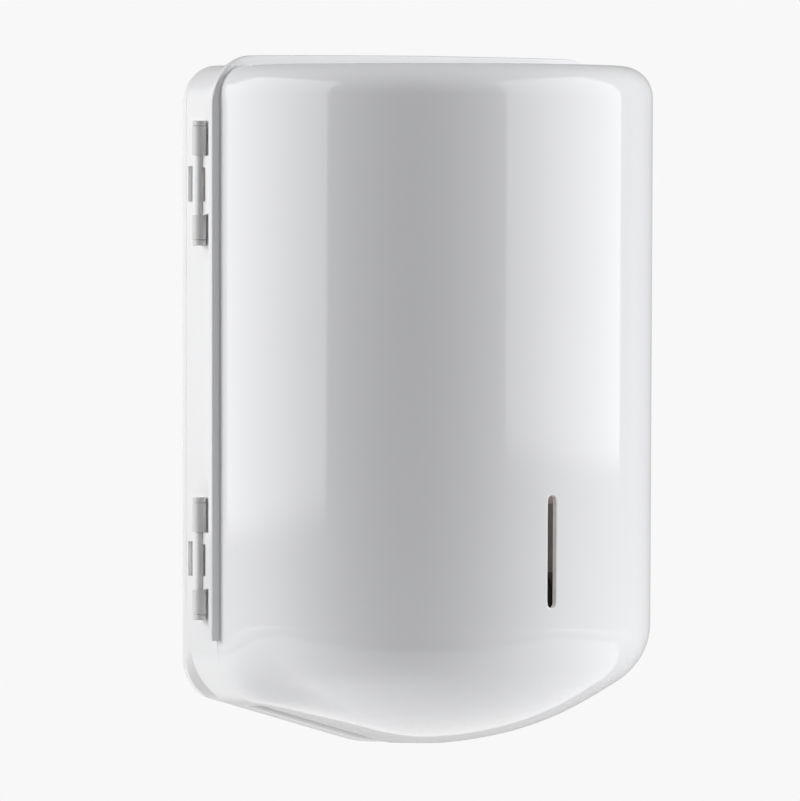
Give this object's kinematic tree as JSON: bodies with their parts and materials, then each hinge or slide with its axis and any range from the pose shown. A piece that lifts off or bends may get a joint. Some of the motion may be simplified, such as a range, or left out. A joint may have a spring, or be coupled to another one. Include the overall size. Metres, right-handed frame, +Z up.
{
  "type": "lever towel dispenser",
  "caption": "Wall-mounted paper towel roll dispenser: hinged bowed cover with a sight slit, side lever geared to a feed roller, pinch roller and tear blade.",
  "frame": {"origin": "centre of the four wall-screw slots, on the wall plane", "axes": "+X to the right of a person facing the dispenser, +Y into the wall, +Z up"},
  "size_m": [0.3157, 0.1867, 0.4115],
  "materials": {
    "gloss_white": "high gloss moulded",
    "housing_white": "satin gloss moulded",
    "hinge_grey": "satin moulded",
    "bright_zinc": "polished plating",
    "plated_steel": "zinc plated",
    "screw_steel": "zinc plated",
    "spring_steel": "drawn wire",
    "blade_steel": "stamped stainless strip",
    "grey_moulding": "moulded, fine texture",
    "natural_acetal": "moulded, natural",
    "roller_rubber": "ground rubber",
    "lever_metal": "powder coated",
    "grip_plastic": "moulded"
  },
  "bodies": {
    "housing": {"back_plate": "housing_white", "rear_frame": "housing_white", "hinge_pin_upper": "hinge_grey", "hinge_pin_lower": "hinge_grey", "lock_keeper": "plated_steel", "roll_bracket_right": "grey_moulding", "roll_bracket_left": "grey_moulding", "arm_pin_right": "plated_steel", "arm_pin_left": "plated_steel", "arm_spring_right": "spring_steel", "arm_spring_left": "spring_steel", "mech_bracket_right": "grey_moulding", "mech_bracket_left": "grey_moulding", "shaft_bush_right": "natural_acetal", "shaft_bush_left": "natural_acetal", "pinch_pivots": "plated_steel", "pinch_spring_right": "spring_steel", "pinch_spring_left": "spring_steel", "lever_bush": "natural_acetal", "lever_spring": "spring_steel", "lever_stop": "roller_rubber", "exit_guide": "grey_moulding", "tear_blade": "blade_steel", "bracket_screws": "screw_steel", "holder_screws": "screw_steel", "frame_screws": "screw_steel", "blade_screws": "screw_steel", "guide_screws": "screw_steel", "keeper_screws": "screw_steel"},
    "cover": {"front_cover": "gloss_white", "lock_housing": "bright_zinc", "lock_nut": "bright_zinc"},
    "lock": {"lock_barrel": "bright_zinc", "lock_cam": "plated_steel"},
    "right_arm": {"roll_arm_right": "grey_moulding", "hub_clip_right": "plated_steel"},
    "left_arm": {"roll_arm_left": "grey_moulding", "hub_clip_left": "plated_steel"},
    "right_hub": {"roll_hub_right": "natural_acetal"},
    "left_hub": {"roll_hub_left": "natural_acetal"},
    "lever": {"lever_arm": "lever_metal", "lever_grip": "grip_plastic", "lever_shaft": "plated_steel", "lever_screw": "screw_steel", "sector_gear": "natural_acetal"},
    "feed": {"feed_shaft": "plated_steel", "feed_roller": "roller_rubber", "one_way_clutch": "plated_steel", "drive_pinion": "natural_acetal", "shaft_clips": "plated_steel"},
    "pinch_frame": {"pinch_arm_left": "plated_steel", "pinch_arm_right": "plated_steel", "pinch_tie_bar": "plated_steel"},
    "pinch": {"pinch_roller": "roller_rubber", "pinch_axle": "plated_steel"}
  },
  "joints": [
    {"name": "cover_hinge", "type": "hinge", "parent": "housing", "child": "cover", "pos_m": [-0.1435, -0.024, 0.0372], "axis": [0, 0, -1], "range_deg": [0, 100]},
    {"name": "lock_turn", "type": "hinge", "parent": "cover", "child": "lock", "pos_m": [0.128, -0.052, 0.04], "axis": [1, 0, 0], "range_deg": [0, 90]},
    {"name": "right_arm_flex", "type": "hinge", "parent": "housing", "child": "right_arm", "pos_m": [0.108, -0.014, 0.104], "axis": [0, 0, 1], "range_deg": [0, 7], "stiffness_Nm_per_rad": 1, "springref_deg": -5.73},
    {"name": "left_arm_flex", "type": "hinge", "parent": "housing", "child": "left_arm", "pos_m": [-0.108, -0.014, 0.104], "axis": [0, 0, -1], "range_deg": [0, 7], "stiffness_Nm_per_rad": 1, "springref_deg": -5.73},
    {"name": "right_hub_spin", "type": "hinge", "parent": "right_arm", "child": "right_hub", "pos_m": [0.097, -0.074, 0.104], "axis": [1, 0, 0], "continuous": true},
    {"name": "left_hub_spin", "type": "hinge", "parent": "left_arm", "child": "left_hub", "pos_m": [-0.097, -0.074, 0.104], "axis": [1, 0, 0], "continuous": true},
    {"name": "lever_swing", "type": "hinge", "parent": "housing", "child": "lever", "pos_m": [0.125, -0.02445, -0.10197], "axis": [1, 0, 0], "range_deg": [0, 75], "stiffness_Nm_per_rad": 0.25, "springref_deg": -34.38},
    {"name": "feed_spin", "type": "hinge", "parent": "housing", "child": "feed", "pos_m": [0, -0.0685, -0.118], "axis": [1, 0, 0], "range_deg": [-302, 2]},
    {"name": "pinch_lift", "type": "hinge", "parent": "housing", "child": "pinch_frame", "pos_m": [0, -0.0325, -0.122], "axis": [1, 0, 0], "range_deg": [0, 10], "stiffness_Nm_per_rad": 0.6, "springref_deg": -14.32},
    {"name": "pinch_spin", "type": "hinge", "parent": "pinch_frame", "child": "pinch", "pos_m": [0, -0.04738, -0.12785], "axis": [1, 0, 0], "range_deg": [-4, 567]}
  ],
  "couplings": [
    {"joint": "feed_spin", "follows": "lever_swing", "ratio": -4},
    {"joint": "pinch_spin", "follows": "lever_swing", "ratio": 7.5}
  ]
}
